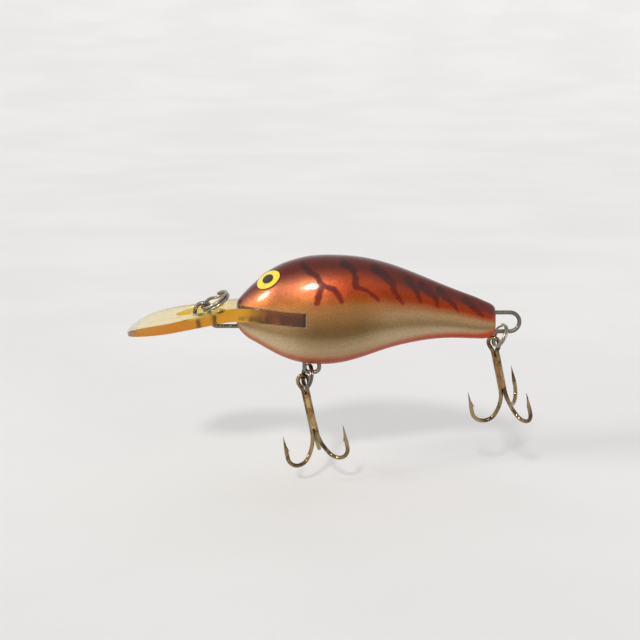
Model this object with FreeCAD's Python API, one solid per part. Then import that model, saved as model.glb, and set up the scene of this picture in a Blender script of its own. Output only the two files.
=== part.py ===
import FreeCAD, Part
import math
import os

# Deep-diving crankbait, millimetres.  Nose towards -X, tail +X, back +Z, left flank -Y.
# Shapes are drawn from a datum at the tip of the nose, on the mid-plane, and then moved
# so that the origin is where the line-tie ring passes through its wire eye.

V = FreeCAD.Vector
X_AXIS = V(1, 0, 0)
Y_AXIS = V(0, 1, 0)
Z_AXIS = V(0, 0, 1)

# ---- driving dimensions ------------------------------------------------------------
BODY_LENGTH = 50.0          # painted body, nose to tail face
SKIN = 0.3                  # primer, foil, colour and lacquer together
ENAMEL = 0.10               # thickness of one dab of eye enamel

WIRE = 0.8                  # through wire and belly hanger
EYE_CENTRE = V(-6.5, 0, 1.32)   # centre of the line-tie eye's half-round top
EYE_RADIUS = 1.6            # centreline radius of that half-round
LINE_TIE = V(-6.5, 0, 1.86)     # where the line-tie ring crosses the eye: the part's origin

TAIL_LEG_LOW = -2.65        # height of the lower leg of the tail loop
TAIL_BEND_X = 52.9          # where the legs of the tail loop end and its bend starts
TAIL_BEND_R = 1.87          # centreline radius of the tail loop

HANGER_X = 14.5             # middle of the belly hanger
HANGER_HALF = 1.45          # half the distance between its two legs
HANGER_LOW = -10.75         # centreline of its bottom
HANGER_CORNER = 1.0         # centreline radius of its two corners

LIP_THICK_TIP = 1.5         # the plate tapers along its length
LIP_THICK_NOSE = 2.6
TONGUE_END = 13.4           # how far the lip's tongue goes into the head
GLUE = 0.15                 # glue film round the tongue
DISH_X = -6.9               # middle of the oval dish that the line-tie eye stands in
DISH_LENGTH = 9.6
DISH_WIDTH = 7.6
DISH_DEPTH = 0.85

KERF = 1.6                  # width of the saw cut in the belly that the wire goes in through
BALLAST_R = 2.3
BALLAST_LENGTH = 9.0
BALLAST_Z = -5.3

BELLY_RING_X = 14.45        # where the belly ring hangs on its hanger
REAR_RING_X = 52.2          # where the rear ring hangs on the tail loop
RING_OD = 4.9               # belly and rear rings
RING_WIRE = 0.42
TIE_RING_OD = 6.1           # line-tie ring
TIE_RING_WIRE = 0.62
TIE_RING_TILT = 32.0        # how far the line-tie ring stands up from lying back, degrees
TIE_RING_ROLL = 9.0         # its right side is higher than its left, degrees
COIL_GAP = 0.02             # between the two turns of a split ring
WIRE_PLAY = 0.11            # between a ring and the wire that it hangs on

HOOK_WIRE = 0.82            # treble hooks
HOOK_LENGTH = 18.7          # outside of the eye to the bottom of the bend
HOOK_SPREAD = 6.95          # shank axis to a point
POINT_HEIGHT = 7.7          # bottom of the bend to a point
SHANK_OFFSET = 0.49         # shank axis to the centre of each of its three wires
FLARE_R = 7.6               # gentle curve from the shank into the bend
FLARE_ANGLE = 44.0
TAPER_LENGTH = 3.6          # ground length of a point
BARB_LENGTH = 1.25
EYE_HALF_WIDTH = 1.04       # centreline of a treble's eye
EYE_HALF_HEIGHT = 1.27
EYE_SHOULDER = 0.72         # its top is rounded: a point on it, as a part of both half sizes
POINT_TIP_R = 0.03          # radius that a point is ground down to
BARB_R = 0.26               # radius of a barb's root
SINGLE_LOWER = 0.3          # the single hook's shank ends this far below the eye's neck
BRAZE_LENGTH = 7.4
BRAZE_COVER = 0.26          # braze outside the shanks' centrelines

# Stations along the body: distance from the nose, top, bottom, half-width.
STATIONS = [
    (0.00, 2.60, -1.05, 1.35),
    (0.22, 3.55, -1.75, 2.15),
    (0.80, 4.30, -2.55, 2.75),
    (2.20, 5.80, -3.85, 3.65),
    (4.40, 7.82, -5.10, 4.80),
    (7.30, 9.95, -6.75, 5.90),
    (10.60, 11.35, -8.15, 6.70),
    (14.40, 12.20, -8.88, 7.15),
    (18.60, 12.38, -8.86, 7.20),
    (23.00, 12.10, -7.95, 6.75),
    (28.00, 11.12, -6.25, 5.95),
    (33.12, 9.38, -4.85, 4.90),
    (38.00, 7.38, -4.05, 3.90),
    (43.00, 5.36, -3.88, 3.10),
    (47.00, 3.82, -4.02, 2.65),
    (49.10, 2.86, -3.72, 2.35),
    (49.80, 2.30, -3.20, 2.00),
    (50.00, 1.75, -2.70, 1.60),
]
WIDEST = 0.42               # height of the widest line, as a part of the section's height
FLANK_POWER = 0.90          # below 1 the flanks are a little fuller than an ellipse
SECTION_POINTS = 16

# Side profile of the lip (distance from the nose, height): top edge, then bottom edge.
LIP_TOP = [(-21.2, -2.45), (-19.2, -1.2), (-16.1, -0.15), (-13.0, 0.5), (-8.7, 1.32),
           (-4.7, 2.12), (-1.2, 2.75), (0.6, 2.82), (13.4, 2.09)]
LIP_TIP_LOW = (-20.9, -3.0)
# Plan of the lip: distance from the nose, half-width.
LIP_PLAN = [(-21.2, 0.0), (-20.9, 2.5), (-19.4, 5.6), (-16.6, 8.1), (-13.0, 9.1),
            (-8.7, 8.0), (-4.7, 6.8), (-0.2, 5.5), (6.2, 5.55), (13.4, 8.8)]

# The eyes are dabbed on from the side; each dab is an oval when seen from there.
EYE_DOT = V(6.23, -3.04, 8.02)      # middle of the left eye
PUPIL = V(6.13, -2.81, 8.15)        # middle of its pupil
EYE_FROM = V(0, -0.98, 0.19)        # where the left eye is dabbed from
EYE_LONG = V(0.84, 0.105, 0.53)     # long axis of both ovals
EYE_DOT_HALF = (2.45, 1.40)         # half-length and half-width
PUPIL_HALF = (1.12, 0.74)


def polar(angle):
    return math.cos(math.radians(angle)), math.sin(math.radians(angle))


def tube(edges, diameter):
    """A round wire that follows the edges, which join end to end."""
    path = Part.Wire(edges)
    first = path.OrderedEdges[0]
    start = first.firstVertex(True).Point
    parameter = first.FirstParameter if first.Orientation == "Forward" else first.LastParameter
    profile = Part.Wire(Part.makeCircle(diameter / 2, start, first.tangentAt(parameter)))
    return path.makePipeShell([profile], True, False)


def line(a, b):
    return Part.LineSegment(a, b).toShape()


def arc(a, mid, b):
    return Part.Arc(a, mid, b).toShape()


def bend_xz(centre, radius, start, end):
    """Arc in the mid-plane; angles from +X towards +Z, in degrees."""
    points = []
    for angle in (start, (start + end) / 2, end):
        c, s = polar(angle)
        points.append(centre + V(radius * c, 0, radius * s))
    return arc(*points)


# ---- body ---------------------------------------------------------------------------
def section(x, top, bottom, half_width):
    """Closed smooth curve round the body at one station."""
    widest = bottom + WIDEST * (top - bottom)
    points = []
    for i in range(SECTION_POINTS):
        c, s = polar(360 * i / SECTION_POINTS)
        y = half_width * math.copysign(abs(c) ** FLANK_POWER, c)
        reach = top - widest if s > 0 else widest - bottom
        points.append(V(x, y, widest + reach * s))
    curve = Part.BSplineCurve()
    curve.interpolate(Points=points, PeriodicFlag=True)
    return Part.Wire(curve.toShape())


def body_shape(grow=0.0):
    """The body's outside, grown (or, below zero, shrunk) by an even thickness."""
    wires = []
    for x, top, bottom, half_width in STATIONS:
        along = x + grow * (2 * x / BODY_LENGTH - 1)
        wires.append(section(along, top + grow, bottom - grow, half_width + grow))
    return Part.makeLoft(wires, True, False)


# ---- wires --------------------------------------------------------------------------
def through_wire():
    """One wire: line-tie eye, along the inside of the body, tail loop, and back in."""
    front = EYE_CENTRE.x - EYE_RADIUS
    rear = EYE_CENTRE.x + EYE_RADIUS
    under_lip = -1.25
    nose_run = -1.6
    foot_r = 0.9
    dip_r = 1.0
    tail_top = TAIL_LEG_LOW + 2 * TAIL_BEND_R
    crown = V(EYE_CENTRE.x, 0, EYE_CENTRE.z + EYE_RADIUS)
    slope_start = V(4.0, 0, nose_run)
    slope_end = V(44.0, 0, TAIL_LEG_LOW)
    bend = V(TAIL_BEND_X, 0, TAIL_LEG_LOW + TAIL_BEND_R)
    edges = [
        line(V(rear - 1.1, 0, under_lip), V(front + foot_r, 0, under_lip)),
        bend_xz(V(front + foot_r, 0, under_lip + foot_r), foot_r, 270, 180),
        line(V(front, 0, under_lip + foot_r), V(front, 0, EYE_CENTRE.z)),
        arc(V(front, 0, EYE_CENTRE.z), crown, V(rear, 0, EYE_CENTRE.z)),
        line(V(rear, 0, EYE_CENTRE.z), V(rear, 0, nose_run + dip_r)),
        bend_xz(V(rear + dip_r, 0, nose_run + dip_r), dip_r, 180, 270),
        line(V(rear + dip_r, 0, nose_run), slope_start),
        line(slope_start, slope_end),
        line(slope_end, V(TAIL_BEND_X, 0, TAIL_LEG_LOW)),
        bend_xz(bend, TAIL_BEND_R, -90, 90),
        line(V(TAIL_BEND_X, 0, tail_top), V(42.5, 0, tail_top)),
    ]
    return tube(edges, WIRE)


def belly_hanger():
    """U of wire with its two legs set in the lead."""
    left = HANGER_X - HANGER_HALF
    right = HANGER_X + HANGER_HALF
    leg_top = -3.9
    corner_z = HANGER_LOW + HANGER_CORNER
    edges = [
        line(V(left, 0, leg_top), V(left, 0, corner_z)),
        bend_xz(V(left + HANGER_CORNER, 0, corner_z), HANGER_CORNER, 180, 270),
        line(V(left + HANGER_CORNER, 0, HANGER_LOW), V(right - HANGER_CORNER, 0, HANGER_LOW)),
        bend_xz(V(right - HANGER_CORNER, 0, corner_z), HANGER_CORNER, 270, 360),
        line(V(right, 0, corner_z), V(right, 0, leg_top)),
    ]
    return tube(edges, WIRE)


# ---- lip ----------------------------------------------------------------------------
def lip_plate(grow=0.0):
    """Blade and tongue as one plate, before the wire holes and the trim to the flanks."""
    def thick(x):
        part = min(1.0, (x - LIP_TOP[0][0]) / -LIP_TOP[0][0])
        return LIP_THICK_TIP + (LIP_THICK_NOSE - LIP_THICK_TIP) * part

    top = [V(x, 0, z + grow) for x, z in LIP_TOP]
    low = [V(x, 0, z - thick(x) - grow) for x, z in LIP_TOP[2:]]
    tip_low = V(LIP_TIP_LOW[0], 0, LIP_TIP_LOW[1] - grow)
    end = V(grow, 0, 0)
    upper = Part.BSplineCurve()
    upper.interpolate(top[:-1])
    lower = Part.BSplineCurve()
    lower.interpolate([tip_low] + low[:-1])
    profile = Part.Wire([
        upper.toShape(),
        line(top[-2], top[-1] + end),
        line(top[-1] + end, low[-1] + end),
        line(low[-1] + end, low[-2]),
        lower.toShape(),
        line(tip_low, top[0]),
    ])
    widest = 20.0
    slab = Part.Face(profile).extrude(V(0, widest, 0))
    slab.translate(V(0, -widest / 2, 0))

    right = [V(x, w + grow, 0) for x, w in LIP_PLAN[1:-1]]
    left = [V(x, -w - grow, 0) for x, w in reversed(LIP_PLAN[1:-1])]
    nose = V(LIP_PLAN[0][0], 0, 0)
    outline = Part.BSplineCurve()
    outline.interpolate(left + [nose] + right)
    end_x, end_w = LIP_PLAN[-1]
    rear_right = V(end_x + 1, end_w + grow, 0)
    rear_left = V(end_x + 1, -end_w - grow, 0)
    plan = Part.Wire([
        outline.toShape(),
        line(right[-1], rear_right),
        line(rear_right, rear_left),
        line(rear_left, left[0]),
    ])
    tall = 20.0
    prism = Part.Face(plan).extrude(V(0, 0, tall))
    prism.translate(V(0, 0, -tall / 2))
    return slab.common(prism)


def lip_dish():
    """Oval dish in the top of the blade, under the line-tie eye."""
    slope = math.degrees(math.atan2(LIP_TOP[5][1] - LIP_TOP[3][1], LIP_TOP[5][0] - LIP_TOP[3][0]))
    deep = 4.0
    rim = 0.5
    outline = Part.Ellipse(V(0, 0, 0), DISH_LENGTH / 2 - rim, DISH_WIDTH / 2 - rim).toShape()
    mouth = Part.Ellipse(V(0, 0, deep), DISH_LENGTH / 2 - rim + deep * rim / DISH_DEPTH,
                         DISH_WIDTH / 2 - rim + deep * rim / DISH_DEPTH).toShape()
    tool = Part.makeLoft([Part.Wire(outline), Part.Wire(mouth)], True, True)
    tool.rotate(V(0, 0, 0), Y_AXIS, -slope)
    top_here = LIP_TOP[4][1] + (DISH_X - LIP_TOP[4][0]) * math.tan(math.radians(slope))
    tool.translate(V(DISH_X, 0, top_here - DISH_DEPTH))
    return tool


def half_space(x_from, x_to):
    wide = 60.0
    return Part.makeBox(x_to - x_from, wide, wide, V(x_from, -wide / 2, -wide / 2))


def diving_lip(body, wire):
    """The tongue is trimmed flush with the painted flanks behind the cheeks."""
    flush_from = 6.2
    plate = lip_plate()
    blade = plate.common(half_space(-40, flush_from))
    tongue = plate.common(body).common(half_space(flush_from, TONGUE_END))
    lip = blade.fuse(tongue).removeSplitter()
    return lip.cut(lip_dish()).cut(wire)


def lip_glue(body, wire):
    """The lip's socket in the head, and the film of glue between it and the tongue.

    The film shows as a thin line on the flanks.
    """
    before_nose = -2.0
    socket = lip_plate(GLUE).common(half_space(before_nose, TONGUE_END + GLUE))
    return socket, socket.common(body).cut(lip_plate()).cut(wire)


# ---- eyes ---------------------------------------------------------------------------
def enamel_dot(middle, half, low, high, side):
    """Oval dab of enamel on the lacquer; side is -1 for the left eye, +1 for the right."""
    middle, facing, long_axis = [V(v.x, -side * v.y, v.z) for v in (middle, EYE_FROM, EYE_LONG)]
    length, width = half
    reach = 2.2
    start = middle - facing * reach
    plane_normal = V(facing).normalize()
    oval = Part.Ellipse(start + V(long_axis).normalize() * length,
                        start + plane_normal.cross(long_axis).normalize() * width, start)
    punch = Part.Face(Part.Wire(oval.toShape())).extrude(facing * 2 * reach)
    return high.cut(low).common(punch)


# ---- split rings --------------------------------------------------------------------
def split_ring(outer_diameter, wire):
    """Two flat turns of round wire with a short step between them; axis +Z, centre at 0."""
    radius = (outer_diameter - wire) / 2
    half_step = (wire + COIL_GAP) / 2
    start, step_start, step_end, finish = 18, 330, 375, 688
    points = []
    angle = start
    while angle <= finish:
        along = min(1.0, max(0.0, (angle - step_start) / (step_end - step_start)))
        height = half_step * (2 * along * along * (3 - 2 * along) - 1)
        c, s = polar(angle)
        points.append(V(radius * c, radius * s, height))
        angle += 7.5 if step_start - 20 < angle < step_end + 20 else 15
    curve = Part.BSplineCurve()
    curve.interpolate(points)
    return tube([curve.toShape()], wire)


def placed(shape, origin, x_dir, z_dir):
    """Move a shape drawn about 0 so that its +X and +Z point along the given directions."""
    z = V(z_dir).normalize()
    y = z.cross(x_dir).normalize()
    x = y.cross(z)
    matrix = FreeCAD.Matrix(x.x, y.x, z.x, origin.x,
                            x.y, y.y, z.y, origin.y,
                            x.z, y.z, z.z, origin.z,
                            0, 0, 0, 1)
    copy = shape.copy()
    copy.transformShape(matrix)
    return copy


class HangingRing:
    """A ring on a wire that runs along X, and the point where it carries its treble."""

    def __init__(self, wire_point, slant, swing, twist):
        c, s = polar(slant)
        uphill = V(s, 0, c)
        c, s = polar(swing)
        self.down = -uphill * c + Y_AXIS * s
        along = uphill * s + Y_AXIS * c
        c, s = polar(twist)
        self.along = along * c + along.cross(self.down) * s
        self.axis = self.along.cross(self.down)
        offset = V(0, -self.along.z, self.along.y).normalize()
        radius = (RING_OD - RING_WIRE) / 2
        lean = abs(self.axis.dot(offset)) * (RING_WIRE + COIL_GAP) / 2
        self.top = wire_point + offset * (WIRE / 2 + RING_WIRE / 2 + lean + WIRE_PLAY)
        self.centre = self.top + self.down * radius
        self.bottom = self.top + self.down * 2 * radius

    def solid(self):
        # the step between the turns is put half-way between the two crossings
        return placed(split_ring(RING_OD, RING_WIRE), self.centre, self.along, self.axis)


def line_tie_ring():
    c, s = polar(TIE_RING_TILT)
    outward = V(c, 0, s)
    uphill = V(-s, 0, c)
    radius = (TIE_RING_OD - TIE_RING_WIRE) / 2
    c, s = polar(TIE_RING_ROLL)
    across = Y_AXIS * c + uphill * s
    return placed(split_ring(TIE_RING_OD, TIE_RING_WIRE), LINE_TIE + outward * radius,
                  across, across.cross(outward))


# ---- treble hooks -------------------------------------------------------------------
# Ring crossing to the top of the eye wire, with room for both turns of the ring edge-on.
EYE_TOP = HOOK_WIRE / 2 + 1.5 * RING_WIRE + COIL_GAP / 2 + WIRE_PLAY
EYE_LOW = EYE_TOP - 2 * EYE_HALF_HEIGHT         # where the eye closes
BEND_LOW = EYE_TOP + HOOK_WIRE - HOOK_LENGTH    # centreline of the bend's bottom


def hook_edges(azimuth, top):
    """Centreline of one hook in its own plane, from the shank's top to its point's base."""
    ca, sa = polar(azimuth)

    def at(r, z):
        return V(r * ca, r * sa, z)

    flare = math.radians(FLARE_ANGLE)
    run_out = FLARE_R * (1 - math.cos(flare))
    bend_r = (HOOK_SPREAD - SHANK_OFFSET - run_out) / (1 + math.cos(flare))
    flare_top = BEND_LOW + bend_r * (1 - math.sin(flare)) + FLARE_R * math.sin(flare)
    half = flare / 2
    bend_c = (HOOK_SPREAD - bend_r, BEND_LOW + bend_r)
    middle = (flare + math.pi) / 2
    flare_mid = at(SHANK_OFFSET + FLARE_R * (1 - math.cos(half)), flare_top - FLARE_R * math.sin(half))
    flare_end = at(SHANK_OFFSET + run_out, flare_top - FLARE_R * math.sin(flare))
    bend_mid = at(bend_c[0] - bend_r * math.cos(middle), bend_c[1] - bend_r * math.sin(middle))
    bend_end = at(HOOK_SPREAD, bend_c[1])
    point_base = at(HOOK_SPREAD, BEND_LOW - HOOK_WIRE / 2 + POINT_HEIGHT - TAPER_LENGTH)
    return [
        line(at(SHANK_OFFSET, top), at(SHANK_OFFSET, flare_top)),
        arc(at(SHANK_OFFSET, flare_top), flare_mid, flare_end),
        arc(flare_end, bend_mid, bend_end),
        line(bend_end, point_base),
    ]


def hook_point(azimuth):
    """Ground point with its barb on the side that faces the shank."""
    ca, sa = polar(azimuth)
    base_z = BEND_LOW - HOOK_WIRE / 2 + POINT_HEIGHT - TAPER_LENGTH
    base = V(HOOK_SPREAD * ca, HOOK_SPREAD * sa, base_z)
    needle = Part.makeCone(HOOK_WIRE / 2, POINT_TIP_R, TAPER_LENGTH, base, Z_AXIS)
    inward = V(-ca, -sa, 0)
    sunk = 0.05
    outward_slope = 0.5
    overrun = 1.15
    root = base + inward * sunk + Z_AXIS * BARB_LENGTH
    barb = Part.makeCone(BARB_R, POINT_TIP_R, BARB_LENGTH * overrun, root, inward * outward_slope - Z_AXIS)
    return needle.fuse(barb)


def eye_edges(first, second):
    """The treble's eye: the wire leaves one shank, goes round and comes back down the other."""
    centre = EYE_TOP - EYE_HALF_HEIGHT
    across = V(*polar(first), 0) * SHANK_OFFSET - V(*polar(second), 0) * SHANK_OFFSET
    middle = (V(*polar(first), 0) + V(*polar(second), 0)) * (SHANK_OFFSET / 2)
    half = across.Length / 2
    side = across.normalize()

    def at(a, z):
        return middle * max(0.0, min(1.0, (centre - z) / EYE_HALF_HEIGHT)) + side * a + Z_AXIS * z

    low = EYE_LOW - 0.9
    neck = (half + 0.12, EYE_LOW - 0.1)
    belly = (EYE_HALF_WIDTH, centre - 0.25)
    shoulder = (EYE_HALF_WIDTH * EYE_SHOULDER, centre + EYE_HALF_HEIGHT * EYE_SHOULDER)
    rising = [(half, low), neck, belly, shoulder]
    points = [at(a, z) for a, z in rising] + [at(0, EYE_TOP)] + [at(-a, z) for a, z in reversed(rising)]
    curve = Part.BSplineCurve()
    curve.interpolate(Points=points, InitialTangent=Z_AXIS, FinalTangent=-Z_AXIS)
    return low, curve.toShape()


def treble(azimuths):
    """Double hook with the eye, single hook, and the braze that joins their shanks."""
    first, second, third = azimuths
    top, eye = eye_edges(first, second)
    down_first = hook_edges(first, top)
    down_second = hook_edges(second, top)
    double = tube([e for e in reversed(down_first)] + [eye] + down_second, HOOK_WIRE)
    double = double.fuse([hook_point(first), hook_point(second)])
    single_top = top - SINGLE_LOWER
    single = tube(hook_edges(third, single_top), HOOK_WIRE).fuse(hook_point(third))
    braze_low = single_top - BRAZE_LENGTH - 0.2
    braze = Part.makeCylinder(SHANK_OFFSET + BRAZE_COVER, BRAZE_LENGTH, V(0, 0, braze_low))
    return {"double": double, "single": single, "braze": braze.cut(double).cut(single)}


class TreblePose:
    """How a treble hangs: lean towards the tail and to the side, and turn about its shank."""

    def __init__(self, lean, side, turn):
        cl, sl = polar(lean)
        cs, ss = polar(side)
        self.up = V(-sl * cs, -ss, cl * cs)
        self.azimuths = (turn, turn + 120, turn + 240)


BELLY_RING = HangingRing(V(BELLY_RING_X, 0, HANGER_LOW), slant=30.0, swing=43.0, twist=28.0)
REAR_RING = HangingRing(V(REAR_RING_X, 0, TAIL_LEG_LOW), slant=33.0, swing=30.0, twist=16.0)
BELLY_TREBLE = TreblePose(lean=11.3, side=8.6, turn=211.0)
REAR_TREBLE = TreblePose(lean=13.2, side=15.6, turn=188.0)


# ---- inside the body ----------------------------------------------------------------
def kerf():
    """Saw cut from the belly up to just above the wire, deeper at the tail."""
    top = -0.75
    tail_top = TAIL_LEG_LOW + 2 * TAIL_BEND_R + 0.6
    deep_from = 42.0
    deep = 20.0
    ahead = 5.0
    front = Part.makeBox(BODY_LENGTH + 2 * ahead, KERF, deep, V(-ahead, -KERF / 2, top - deep))
    rear = Part.makeBox(BODY_LENGTH - deep_from + ahead, KERF, deep, V(deep_from, -KERF / 2, tail_top - deep))
    return front.fuse(rear).removeSplitter()


def lead_ballast():
    slug = Part.makeCylinder(BALLAST_R, BALLAST_LENGTH,
                             V(HANGER_X - BALLAST_LENGTH / 2, 0, BALLAST_Z), X_AXIS)
    edge = 0.4
    return slug.makeChamfer(edge, [e for e in slug.Edges if e.Curve.TypeId == "Part::GeomCircle"])


def build():
    """All the pieces, by name."""
    outside = body_shape()
    inside = body_shape(-SKIN)
    wire = through_wire()
    hanger = belly_hanger()
    ballast = lead_ballast()
    socket, glue = lip_glue(outside, wire)
    slot = kerf()
    first_coat = body_shape(ENAMEL)
    second_coat = body_shape(2 * ENAMEL)

    parts = {
        "painted_skin": outside.cut(inside).cut(socket).cut(wire).cut(hanger),
        "balsa_body": inside.cut(slot).cut(socket).cut(ballast).cut(wire),
        "belly_slot_filler": inside.common(slot).cut(ballast).cut(wire).cut(hanger),
        "lead_ballast": ballast.cut(hanger),
        "through_wire": wire,
        "belly_hanger": hanger,
        "diving_lip": diving_lip(outside, wire),
        "lip_glue": glue,
        "line_tie_ring": line_tie_ring(),
        "belly_ring": BELLY_RING.solid(),
        "rear_ring": REAR_RING.solid(),
    }
    for name, side in (("left", -1), ("right", 1)):
        parts[name + "_eye"] = enamel_dot(EYE_DOT, EYE_DOT_HALF, outside, first_coat, side)
        parts[name + "_pupil"] = enamel_dot(PUPIL, PUPIL_HALF, first_coat, second_coat, side)
    for name, ring, pose in (("belly", BELLY_RING, BELLY_TREBLE), ("rear", REAR_RING, REAR_TREBLE)):
        for piece, shape in treble(pose.azimuths).items():
            parts[name + "_treble_" + piece] = placed(shape, ring.bottom, X_AXIS, pose.up)
    return parts


def main():
    os.makedirs("parts", exist_ok=True)
    for name, shape in build().items():
        moved = shape.copy()
        moved.translate(-LINE_TIE)
        moved.exportStep("parts/" + name + ".step")


main()
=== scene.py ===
import math

import bpy
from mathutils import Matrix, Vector


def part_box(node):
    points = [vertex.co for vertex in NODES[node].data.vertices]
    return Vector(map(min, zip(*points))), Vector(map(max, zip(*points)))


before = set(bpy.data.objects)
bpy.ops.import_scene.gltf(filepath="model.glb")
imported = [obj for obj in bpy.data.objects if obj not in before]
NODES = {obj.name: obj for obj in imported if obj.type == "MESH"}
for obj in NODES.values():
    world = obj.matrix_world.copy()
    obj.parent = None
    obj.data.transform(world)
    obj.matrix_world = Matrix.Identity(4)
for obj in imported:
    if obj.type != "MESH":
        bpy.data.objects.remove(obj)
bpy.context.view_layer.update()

# The materials are laid out in millimetres from the tip of the nose; the frame's origin is
# at the line tie, and the painted body's box gives the way from one to the other.
NOSE_BELOW_TIE = 0.00186
NOSE = Vector((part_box("painted_skin")[0].x, 0, -NOSE_BELOW_TIE))
MM_PER_METRE = 1000.0


# ---- camera -------------------------------------------------------------------------
def direction(azimuth, elevation):
    """From the object towards a camera at that azimuth (0 looks along +Y) and elevation."""
    a, e = math.radians(azimuth), math.radians(elevation)
    return Vector((math.sin(a) * math.cos(e), -math.cos(a) * math.cos(e), math.sin(e)))


TARGET = Vector((0.0226, 0.0, -0.00227))
CAMERA_ELEVATION = 11
CAMERA_DISTANCE = 0.293
camera_data = bpy.data.cameras.new("camera")
camera_data.lens = 85
camera_data.sensor_width = 36
camera_data.clip_start = 0.01
camera = bpy.data.objects.new("camera", camera_data)
bpy.context.scene.collection.objects.link(camera)
camera.location = TARGET + direction(0, CAMERA_ELEVATION) * CAMERA_DISTANCE
camera.rotation_euler = (TARGET - camera.location).to_track_quat("-Z", "Y").to_euler()
bpy.context.scene.camera = camera
bpy.context.scene.view_settings.view_transform = "Standard"


# ---- node helpers -------------------------------------------------------------------
class Tree:
    """A few short calls for writing a node tree as if it were arithmetic."""

    def __init__(self, tree):
        self.tree = tree
        tree.nodes.clear()

    def node(self, kind, inputs=None, **settings):
        node = self.tree.nodes.new(kind)
        for key, value in settings.items():
            setattr(node, key, value)
        for key, value in (inputs or {}).items():
            self.put(node.inputs[key], value)
        return node

    def put(self, socket, value):
        if isinstance(value, bpy.types.NodeSocket):
            self.tree.links.new(value, socket)
        elif isinstance(value, (tuple, list)) and socket.type == "RGBA" and len(value) == 3:
            socket.default_value = (*value, 1.0)
        else:
            socket.default_value = value

    def math(self, operation, *values, clamp=False):
        node = self.node("ShaderNodeMath", operation=operation, use_clamp=clamp)
        for socket, value in zip(node.inputs, values):
            self.put(socket, value)
        return node.outputs[0]

    def vector(self, operation, a, b=None, scale=None, out=0):
        node = self.node("ShaderNodeVectorMath", operation=operation)
        self.put(node.inputs[0], a)
        if b is not None:
            self.put(node.inputs[1], b)
        if scale is not None:
            self.put(node.inputs["Scale"], scale)
        return node.outputs[out]

    def dot(self, a, b):
        return self.vector("DOT_PRODUCT", a, b, out="Value")

    def add(self, a, b):
        return self.math("ADD", a, b)

    def sub(self, a, b):
        return self.math("SUBTRACT", a, b)

    def mul(self, a, b):
        return self.math("MULTIPLY", a, b)

    def div(self, a, b):
        return self.math("DIVIDE", a, b)

    def smooth(self, value, low, high, to_low=0.0, to_high=1.0):
        node = self.node("ShaderNodeMapRange", {"Value": value, "From Min": low, "From Max": high,
                                                "To Min": to_low, "To Max": to_high},
                         interpolation_type="SMOOTHSTEP")
        return node.outputs[0]

    def ramp(self, value, stops):
        node = self.node("ShaderNodeValToRGB", {"Fac": value})
        elements = node.color_ramp.elements
        while len(elements) < len(stops):
            elements.new(0.5)
        for element, (place, colour) in zip(elements, stops):
            element.position = place
            element.color = (*colour, 1.0)
        return node.outputs["Color"]

    def curve(self, value, low, high, points):
        """A smooth function of value from low to high, through (value, result) points."""
        bottom = min(y for x, y in points)
        top = max(y for x, y in points)
        unit = self.div(self.sub(value, low), high - low)
        node = self.node("ShaderNodeFloatCurve", {"Value": unit})
        line = node.mapping.curves[0]
        spots = [((x - low) / (high - low), (y - bottom) / (top - bottom)) for x, y in points]
        line.points[0].location = spots[0]
        line.points[1].location = spots[-1]
        for spot in spots[1:-1]:
            line.points.new(*spot)
        node.mapping.update()
        return self.add(self.mul(node.outputs[0], top - bottom), bottom)

    def mix(self, factor, a, b):
        node = self.node("ShaderNodeMix", data_type="RGBA")
        self.put(node.inputs[0], factor)
        self.put(node.inputs[6], a)
        self.put(node.inputs[7], b)
        return node.outputs[2]

    def noise(self, where, scale, detail=2.0, roughness=0.5, out="Fac"):
        node = self.node("ShaderNodeTexNoise", {"Vector": where, "Scale": scale, "Detail": detail,
                                                "Roughness": roughness})
        return node.outputs[out]

    def bump(self, height, strength, distance, normal=None):
        inputs = {"Height": height, "Strength": strength, "Distance": distance}
        if normal is not None:
            inputs["Normal"] = normal
        return self.node("ShaderNodeBump", inputs).outputs["Normal"]

    def object_mm(self, offset=(0, 0, 0)):
        """Object coordinates in millimetres, measured from offset (metres)."""
        where = self.node("ShaderNodeTexCoord").outputs["Object"]
        moved = self.vector("SUBTRACT", where, tuple(offset))
        return self.vector("SCALE", moved, scale=MM_PER_METRE)


def material(name):
    """An empty node material and its tree helper."""
    made = bpy.data.materials.new(name)
    made.use_nodes = True
    return made, Tree(made.node_tree)


def surface(tree, inputs, volume=None):
    """Finish a material with one Principled shader, and a volume if there is one."""
    shader = tree.node("ShaderNodeBsdfPrincipled", inputs)
    output = tree.node("ShaderNodeOutputMaterial")
    tree.tree.links.new(shader.outputs[0], output.inputs["Surface"])
    if volume is not None:
        tree.tree.links.new(volume.outputs[0], output.inputs["Volume"])


# ---- paint ---------------------------------------------------------------------------
# Heights of the back, the widest line and the belly, at distances from the nose, in mm.
BODY_LENGTH = 50.0
BACK_LINE = [(0, 2.6), (2.2, 5.8), (4.4, 7.82), (7.3, 9.95), (10.6, 11.35), (14.4, 12.2),
             (18.6, 12.38), (23, 12.1), (28, 11.12), (33.1, 9.38), (38, 7.38), (43, 5.36),
             (47, 3.82), (50, 2.4)]
WIDE_LINE = [(0, 0.48), (2.2, 0.2), (4.4, 0.33), (10.6, 0.04), (14.4, -0.03), (18.6, 0.06),
             (23, 0.47), (28, 1.05), (33.1, 1.13), (38, 0.75), (43, 0.0), (47, -0.72), (50, -1.2)]
BELLY_LINE = [(0, -1.05), (2.2, -3.85), (4.4, -5.1), (7.3, -6.75), (10.6, -8.15), (14.4, -8.88),
              (18.6, -8.86), (23, -7.95), (28, -6.25), (33.1, -4.85), (38, -4.05), (43, -3.88),
              (47, -4.02), (50, -3.2)]

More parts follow.
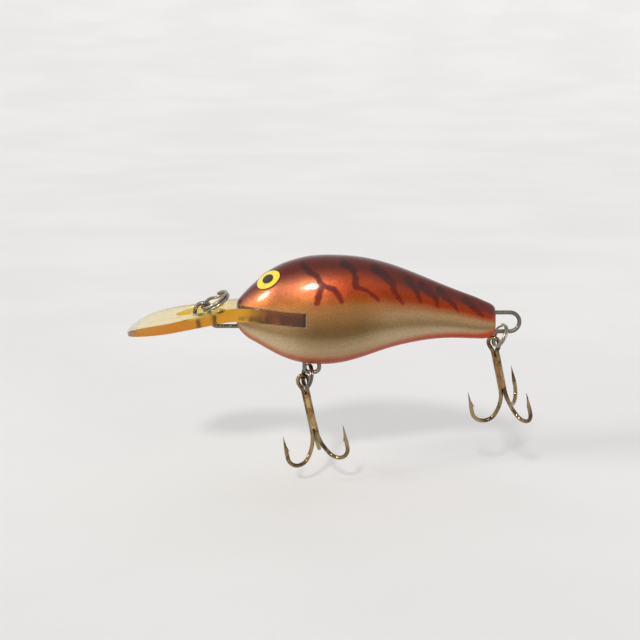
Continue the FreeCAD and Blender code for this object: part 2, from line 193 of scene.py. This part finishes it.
# Dark bars: runs of (distance from the nose, height, half-width).
BARS = [
    [(12.9, 10.9, 0.6), (14.0, 9.9, 0.5), (15.6, 8.9, 0.5), (16.0, 8.1, 0.5), (16.6, 7.3, 0.55)],
    [(16.6, 7.3, 0.5), (16.1, 6.4, 0.55), (15.8, 5.3, 0.62), (15.5, 4.1, 0.55)],
    [(16.6, 7.3, 0.45), (18.7, 6.7, 0.5), (19.6, 5.6, 0.55), (20.2, 4.5, 0.5)],
    [(20.6, 11.2, 0.7), (22.6, 10.0, 0.55), (22.8, 8.6, 0.62), (22.9, 7.1, 0.6)],
    [(22.9, 7.1, 0.5), (24.8, 6.4, 0.33), (26.3, 5.3, 0.4), (27.1, 4.6, 0.42)],
    [(26.4, 10.3, 0.8), (28.2, 9.1, 0.7), (30.0, 7.4, 0.65), (30.1, 6.4, 0.6), (30.9, 5.0, 0.45),
     (31.9, 3.8, 0.38)],
    [(32.8, 8.0, 0.7), (34.5, 6.2, 0.55), (34.8, 5.0, 0.45), (35.4, 3.9, 0.4)],
    [(35.4, 7.0, 0.7), (36.9, 5.6, 0.55), (38.2, 4.5, 0.5), (38.6, 2.9, 0.35)],
    [(38.9, 5.8, 0.65), (40.2, 4.4, 0.5), (41.8, 3.1, 0.45), (42.6, 1.8, 0.3)],
    [(43.9, 3.9, 0.6), (45.7, 2.3, 0.5), (46.6, 1.6, 0.45), (47.3, 0.8, 0.35)],
]

# The eyes, seen from the side: centre, the cosine and sine of their tilt, and size.
EYE_X, EYE_Z = 6.23, 8.02
EYE_COS, EYE_SIN = 0.846, 0.533
EYE_HALF_LENGTH, EYE_HALF_WIDTH = 2.45, 1.45

DARK_BACK = (0.13, 0.016, 0.008)
SPECK = (0.05, 0.035, 0.02)
EYE_RIM = (0.06, 0.025, 0.005)
BAR_COLOURS = [(0.0, (0.19, 0.012, 0.004)), (0.5, (0.10, 0.007, 0.003)),
               (1.0, (0.045, 0.010, 0.007))]
KEEL_COLOURS = [(0.0, (0.46, 0.12, 0.012)), (0.35, (0.36, 0.040, 0.003)),
                (0.65, (0.42, 0.045, 0.003)), (1.0, (0.50, 0.040, 0.002))]


def bar_distance(t, flat):
    """Signed distance, in millimetres, from the edge of the nearest dark bar."""
    nearest = None
    for run in BARS:
        for (ax, az, ar), (bx, bz, br) in zip(run, run[1:]):
            along = Vector((bx - ax, 0, bz - az))
            from_a = t.vector("SUBTRACT", flat, (ax, 0, az))
            ahead = t.dot(from_a, tuple(along))
            part = t.math("MULTIPLY", ahead, 1 / along.length_squared, clamp=True)
            foot = t.vector("SCALE", tuple(along), scale=part)
            gap = t.vector("DISTANCE", from_a, foot, out="Value")
            edge = t.sub(gap, t.add(t.mul(part, br - ar), ar))
            nearest = edge if nearest is None else t.math("SMOOTH_MIN", nearest, edge, 0.35)
    return nearest


def foil_and_painted_reflection(t, x, level):
    """Gold foil with a painted reflection: a dark band along the flank, deepest amidships, stands
    for a dark room mirrored in the foil; the foil is pale below it.
    """
    low, high = -0.75, 0.45
    stops = [-0.75, -0.58, -0.42, -0.27, -0.14, -0.02, 0.1, 0.2, 0.4]
    places = [(v - low) / (high - low) for v in stops]
    at = t.div(t.sub(level, low), high - low)
    # painted reflection: the dark stops in the middle of both ramps darken the foil where a dark
    # room in front would be mirrored in it
    midships = t.ramp(at, list(zip(places, [
        (0.42, 0.25, 0.11), (0.44, 0.305, 0.16), (0.32, 0.22, 0.095), (0.185, 0.098, 0.022),
        (0.18, 0.084, 0.014), (0.23, 0.108, 0.021), (0.31, 0.14, 0.032), (0.38, 0.16, 0.032),
        (0.42, 0.14, 0.027)])))
    ends = t.ramp(at, list(zip(places, [
        (0.52, 0.34, 0.19), (0.51, 0.37, 0.21), (0.43, 0.31, 0.165), (0.28, 0.17, 0.067),
        (0.31, 0.187, 0.072), (0.39, 0.24, 0.108), (0.43, 0.25, 0.10), (0.42, 0.19, 0.055),
        (0.43, 0.14, 0.033)])))
    amid = t.mul(t.smooth(x, 8, 16), t.smooth(x, 31, 23))
    head_gain = t.smooth(x, 17, 8, 1.0, 1.22)
    return t.vector("SCALE", t.mix(amid, ends, midships), scale=head_gain)


def copper_over(t, x, level, base):
    """Copper airbrushed over the foil from above, with a soft edge along the flank."""
    edge = t.curve(x, 0, BODY_LENGTH, [(0, 0.62), (5, 0.5), (10, 0.42), (16, 0.36), (24, 0.36),
                                       (32, 0.28), (40, 0.26), (50, 0.2)])
    copper = t.ramp(t.div(x, BODY_LENGTH), [
        (0.0, (0.47, 0.15, 0.070)), (0.25, (0.46, 0.125, 0.050)), (0.42, (0.45, 0.062, 0.012)),
        (0.7, (0.44, 0.055, 0.009)), (1.0, (0.42, 0.052, 0.010))])
    return t.mix(t.smooth(t.sub(level, edge), -0.13, 0.17), base, copper)


def above_dark_edge(t, x, level):
    """How far the height ratio is above the edge of the dark back."""
    edge = t.curve(x, 0, BODY_LENGTH, [(0, 0.84), (8, 0.78), (14, 0.775), (19, 0.79), (24, 0.77),
                                       (30, 0.69), (36, 0.61), (42, 0.62), (50, 0.52)])
    return t.sub(level, edge)


def bars_mask(t, where, flat):
    """The dark bars, 0 to 1, with edges made ragged by noise."""
    shift = t.vector("SUBTRACT", t.noise(where, 1.1, 2.0, out="Color"), (0.5, 0.5, 0.5))
    ragged = t.vector("ADD", flat, t.vector("SCALE", shift, scale=0.55))
    edge = bar_distance(t, t.vector("MULTIPLY", ragged, (1, 0, 1)))
    return t.mul(t.smooth(edge, 0.24, -0.26), 0.9)


def keel_mask(t, x, above_keel, fine):
    """The orange keel, 0 to 1, a band of varying depth with a soft upper edge."""
    depth = t.curve(x, 0, BODY_LENGTH, [(0, 1.0), (8, 1.5), (16, 1.75), (24, 1.5), (30, 1.35),
                                        (38, 1.25), (50, 1.5)])
    height = t.add(above_keel, t.mul(fine, 0.3))
    return t.smooth(height, t.add(depth, 0.95), t.sub(depth, 0.55))


def specks_mask(t, where):
    """Small pits and specks of dirt in the lacquer, only in some places."""
    cells = t.node("ShaderNodeTexVoronoi", {"Vector": where, "Scale": 0.9, "Randomness": 1.0})
    dots = t.smooth(cells.outputs["Distance"], 0.075, 0.03)
    return t.mul(t.mul(dots, t.math("GREATER_THAN", t.noise(where, 0.6, 1.0), 0.55)), 0.6)


def eye_rim_mask(t, flat):
    """The dark line where each eye meets the paint."""
    from_eye = t.vector("SUBTRACT", flat, (EYE_X, 0, EYE_Z))
    lengthwise = t.div(t.dot(from_eye, (EYE_COS, 0, EYE_SIN)), EYE_HALF_LENGTH)
    crosswise = t.div(t.dot(from_eye, (-EYE_SIN, 0, EYE_COS)), EYE_HALF_WIDTH)
    out = t.math("SQRT", t.add(t.mul(lengthwise, lengthwise), t.mul(crosswise, crosswise)))
    return t.smooth(out, 1.14, 1.04, 0.0, 0.75)


def paint_material():
    made, t = material("paint")
    where = t.object_mm(NOSE)
    flat = t.vector("MULTIPLY", where, (1, 0, 1))
    split = t.node("ShaderNodeSeparateXYZ", {"Vector": where})
    x = split.outputs["X"]
    z = split.outputs["Z"]
    wobble = t.sub(t.noise(where, 0.35, 2.0), 0.5)
    fine = t.sub(t.noise(where, 2.2, 3.0), 0.5)

    # height ratio: 1 along the back, 0 at the widest line, -1 along the belly
    back = t.curve(x, 0, BODY_LENGTH, BACK_LINE)
    wide = t.curve(x, 0, BODY_LENGTH, WIDE_LINE)
    belly = t.curve(x, 0, BODY_LENGTH, BELLY_LINE)
    up = t.div(t.sub(z, wide), t.sub(back, wide))
    below = t.div(t.sub(z, wide), t.sub(wide, belly))
    level = t.add(t.math("MAXIMUM", up, 0.0), t.math("MINIMUM", below, 0.0))
    level = t.add(level, t.add(t.mul(wobble, 0.06), t.mul(fine, 0.02)))

    # the foil carries a painted reflection, a dark band along the flank, and the copper goes over
    # it
    base = copper_over(t, x, level, foil_and_painted_reflection(t, x, level))
    over_dark = above_dark_edge(t, x, level)
    base = t.mix(t.smooth(over_dark, -0.15, 0.10), base, DARK_BACK)
    bars = bars_mask(t, where, flat)
    base = t.mix(bars, base, t.ramp(t.smooth(up, 0.2, 0.9), BAR_COLOURS))
    keel = keel_mask(t, x, t.sub(z, belly), fine)
    base = t.mix(keel, base, t.ramp(t.div(x, BODY_LENGTH), KEEL_COLOURS))
    base = t.mix(specks_mask(t, where), base, SPECK)
    grain = t.noise(where, 2.6, 3.0, 0.65)
    base = t.mix(t.smooth(grain, 0.35, 0.72, 0.0, 0.22), base, (0.0, 0.0, 0.0))
    base = t.mix(eye_rim_mask(t, flat), base, EYE_RIM)

    # the foil shines like metal except under the dark paint and the keel
    foil = t.sub(1.0, t.mul(keel, 0.75))
    dark = t.math("MAXIMUM", t.mul(bars, 0.8), t.smooth(over_dark, -0.15, 0.10, 0.0, 0.5))
    metallic = t.mul(t.mul(foil, t.sub(1.0, dark)), 0.85)
    flakes = t.noise(where, 9.0, 2.0, 0.6)
    waves = t.noise(where, 0.22, 1.5)
    normal = t.bump(flakes, 0.10, 0.00004)
    normal = t.bump(grain, 0.30, 0.00006, normal)
    normal = t.bump(waves, 0.35, 0.0004, normal)
    surface(t, {"Base Color": base, "Metallic": metallic,
                "Roughness": t.add(0.38, t.mul(fine, 0.14)), "Normal": normal,
                "Specular IOR Level": 0.12,
                "Coat Weight": t.sub(0.8, t.mul(keel, 0.6)), "Coat Roughness": 0.10,
                "Coat IOR": 1.45, "Coat Normal": t.bump(waves, 0.25, 0.0004)})
    return made


# ---- metals ---------------------------------------------------------------------------
def metal_material(name, bright, dull, roughness, grain=3.0, spots=0.35, pitting=0.12):
    """Bare metal with clouds of tarnish, which are also rougher, and fine pits."""
    made, t = material(name)
    where = t.object_mm()
    cloud = t.noise(where, grain * 0.4, 4.0, 0.6)
    fine = t.noise(where, grain * 4, 3.0, 0.6)
    tarnish = t.smooth(t.add(cloud, t.mul(t.sub(fine, 0.5), 0.4)), 0.40, 0.66)
    base = t.mix(t.mul(tarnish, spots), bright, dull)
    unevenness = t.add(t.mul(tarnish, roughness), t.mul(t.sub(fine, 0.5), roughness * 0.5))
    surface(t, {"Base Color": base, "Metallic": 1.0, "Roughness": t.add(roughness, unevenness),
                "Normal": t.bump(fine, pitting, 0.00005)})
    return made


def lip_material():
    """Amber plastic: clear in front, tinted yellower near the nose as a painted glow of the
    bright light along its edge there, its glued tongue stained brown.
    """
    made, t = material("lip")
    where = t.object_mm()
    waves = t.noise(where, 0.25, 2.0)
    haze = t.smooth(t.noise(where, 1.2, 3.0), 0.35, 0.75, 0.02, 0.09)
    absorb = t.node("ShaderNodeVolumeAbsorption", {"Color": (0.945, 0.81, 0.0), "Density": 420.0})
    along = t.node("ShaderNodeSeparateXYZ", {"Vector": t.object_mm(NOSE)}).outputs["X"]
    # painted glow: near the nose the plastic is tinted yellower to stand for bright light along
    # the lip's edge there
    clear = t.mix(t.smooth(along, -6.0, -1.0), (1.0, 0.98, 0.89), (1.0, 0.88, 0.36))
    stain = t.smooth(t.add(along, t.mul(t.sub(waves, 0.5), 3.0)), 0.5, 6.5)
    tint = t.mix(stain, clear, (0.34, 0.17, 0.07))
    outward = t.node("ShaderNodeTexCoord").outputs["Normal"]
    facing = t.node("ShaderNodeSeparateXYZ", {"Vector": outward})
    sawn = t.smooth(t.math("ABSOLUTE", facing.outputs["Y"]), 0.35, 0.8, 0.0, 0.26)
    surface(t, {"Base Color": tint, "Roughness": t.add(haze, sawn), "IOR": 1.49,
                "Transmission Weight": 1.0, "Normal": t.bump(waves, 0.15, 0.0002)}, absorb)
    return made


def plain_gloss(name, dark, light, roughness, grain):
    """A cloudy colour under a thin gloss."""
    made, t = material(name)
    where = t.object_mm()
    cloud = t.noise(where, grain, 3.0)
    surface(t, {"Base Color": t.mix(t.smooth(cloud, 0.3, 0.7), dark, light),
                "Roughness": t.add(roughness, t.mul(cloud, 0.1)),
                "Normal": t.bump(cloud, 0.1, 0.0001),
                "Coat Weight": 0.6, "Coat Roughness": 0.06})
    return made


PAINT = paint_material()
STEEL = metal_material("steel_wire", (0.21, 0.187, 0.16), (0.07, 0.06, 0.05), 0.22)
RING_STEEL = metal_material("ring_steel", (0.44, 0.40, 0.33), (0.15, 0.135, 0.11), 0.20)
BRONZE = metal_material("bronzed_hook", (0.38, 0.27, 0.145), (0.065, 0.038, 0.019), 0.07,
                        grain=0.8, spots=0.9, pitting=0.04)
BRAZE = metal_material("braze", (0.62, 0.40, 0.15), (0.17, 0.08, 0.028), 0.22,
                       grain=1.2, spots=0.8)
DULL_BRAZE = metal_material("dull_braze", (0.36, 0.19, 0.07), (0.11, 0.05, 0.02), 0.22,
                            grain=1.2, spots=0.8)
LEAD = metal_material("lead_grey", (0.25, 0.25, 0.26), (0.12, 0.12, 0.12), 0.55)
LIP = lip_material()
GLUE = plain_gloss("glue_film", (0.10, 0.045, 0.015), (0.30, 0.17, 0.06), 0.30, 1.5)
BALSA = plain_gloss("balsa_wood", (0.62, 0.48, 0.30), (0.72, 0.58, 0.38), 0.6, 0.8)
YELLOW = plain_gloss("eye_yellow", (0.86, 0.60, 0.02), (0.95, 0.72, 0.04), 0.22, 1.2)
BLACK = plain_gloss("eye_black", (0.012, 0.010, 0.010), (0.03, 0.022, 0.018), 0.25, 2.0)

FINISH = {
    "painted_skin": PAINT,
    "balsa_body": BALSA,
    "belly_slot_filler": BALSA,
    "lead_ballast": LEAD,
    "through_wire": STEEL,
    "belly_hanger": STEEL,
    "diving_lip": LIP,
    "lip_glue": GLUE,
    "line_tie_ring": RING_STEEL,
    "belly_ring": STEEL,
    "rear_ring": RING_STEEL,
    "left_eye": YELLOW,
    "right_eye": YELLOW,
    "left_pupil": BLACK,
    "right_pupil": BLACK,
}
for name in ("belly_treble", "rear_treble"):
    FINISH[name + "_double"] = BRONZE
    FINISH[name + "_single"] = BRONZE
FINISH["belly_treble_braze"] = BRAZE
FINISH["rear_treble_braze"] = DULL_BRAZE
for name, finish in FINISH.items():
    slots = NODES[name].data.materials
    slots.clear()
    slots.append(finish)


# ---- floor ----------------------------------------------------------------------------
# Below the lowest hook point at every pose.
FLOOR_Z = -0.037


def floor():
    """A wide pale dish: flat under the object, rising gently far away."""
    rings = [(0.25, 0.0), (0.5, 0.0), (0.8, 0.006), (1.1, 0.03), (1.4, 0.08), (1.7, 0.16),
             (2.0, 0.28), (2.3, 0.45)]
    turns = 96
    verts = [(TARGET.x, 0, FLOOR_Z)]
    faces = []
    for radius, rise in rings:
        for i in range(turns):
            a = 2 * math.pi * i / turns
            verts.append((TARGET.x + radius * math.cos(a), radius * math.sin(a), FLOOR_Z + rise))
    for i in range(turns):
        j = (i + 1) % turns
        faces.append((0, 1 + i, 1 + j))
        for ring in range(len(rings) - 1):
            a, b = 1 + ring * turns, 1 + (ring + 1) * turns
            faces.append((a + i, b + i, b + j, a + j))
    mesh = bpy.data.meshes.new("floor")
    mesh.from_pydata(verts, [], faces)
    mesh.polygons.foreach_set("use_smooth", [True] * len(faces))
    made, t = material("floor")
    where = t.object_mm()
    weave = t.noise(where, 0.9, 3.0)
    cloud = t.noise(where, 0.012, 3.0)
    base = t.mix(t.smooth(cloud, 0.3, 0.7), (0.80, 0.80, 0.79), (0.84, 0.84, 0.83))
    surface(t, {"Base Color": base, "Roughness": 0.75, "Specular IOR Level": 0.25,
                "Normal": t.bump(weave, 0.15, 0.0002)})
    mesh.materials.append(made)
    thing = bpy.data.objects.new("floor", mesh)
    bpy.context.scene.collection.objects.link(thing)


floor()


# ---- light ----------------------------------------------------------------------------
def sun(name, towards, size, strength, colour):
    data = bpy.data.lights.new(name, "SUN")
    data.angle = math.radians(size)
    data.energy = strength
    data.color = colour
    lamp = bpy.data.objects.new(name, data)
    bpy.context.scene.collection.objects.link(lamp)
    lamp.rotation_euler = (-Vector(towards)).to_track_quat("-Z", "Y").to_euler()


WARM_WHITE = (1.0, 0.98, 0.95)
sun("key", towards=(-0.17, -0.83, 0.53), size=6, strength=1.22, colour=WARM_WHITE)
sun("side", towards=(-0.78, -0.45, 0.42), size=12, strength=0.9, colour=WARM_WHITE)


def sky():
    """A bright horizon, greyer overhead, and dark in front so that the metals have contrast."""
    world = bpy.data.worlds.new("studio")
    world.use_nodes = True
    t = Tree(world.node_tree)
    look = t.node("ShaderNodeTexCoord").outputs["Generated"]
    split = t.node("ShaderNodeSeparateXYZ", {"Vector": look})
    y = split.outputs["Y"]
    z = split.outputs["Z"]
    overhead = t.smooth(z, 0.35, 0.9)
    front = t.mul(t.smooth(y, -0.35, -0.8), t.smooth(z, 0.9, 0.2))
    colour = t.mix(overhead, (0.90, 0.90, 0.905), (0.60, 0.60, 0.61))
    colour = t.mix(front, colour, (0.13, 0.105, 0.08))
    background = t.node("ShaderNodeBackground", {"Color": colour, "Strength": 1.0})
    output = t.node("ShaderNodeOutputWorld")
    t.tree.links.new(background.outputs[0], output.inputs[0])
    return world


bpy.context.scene.world = sky()
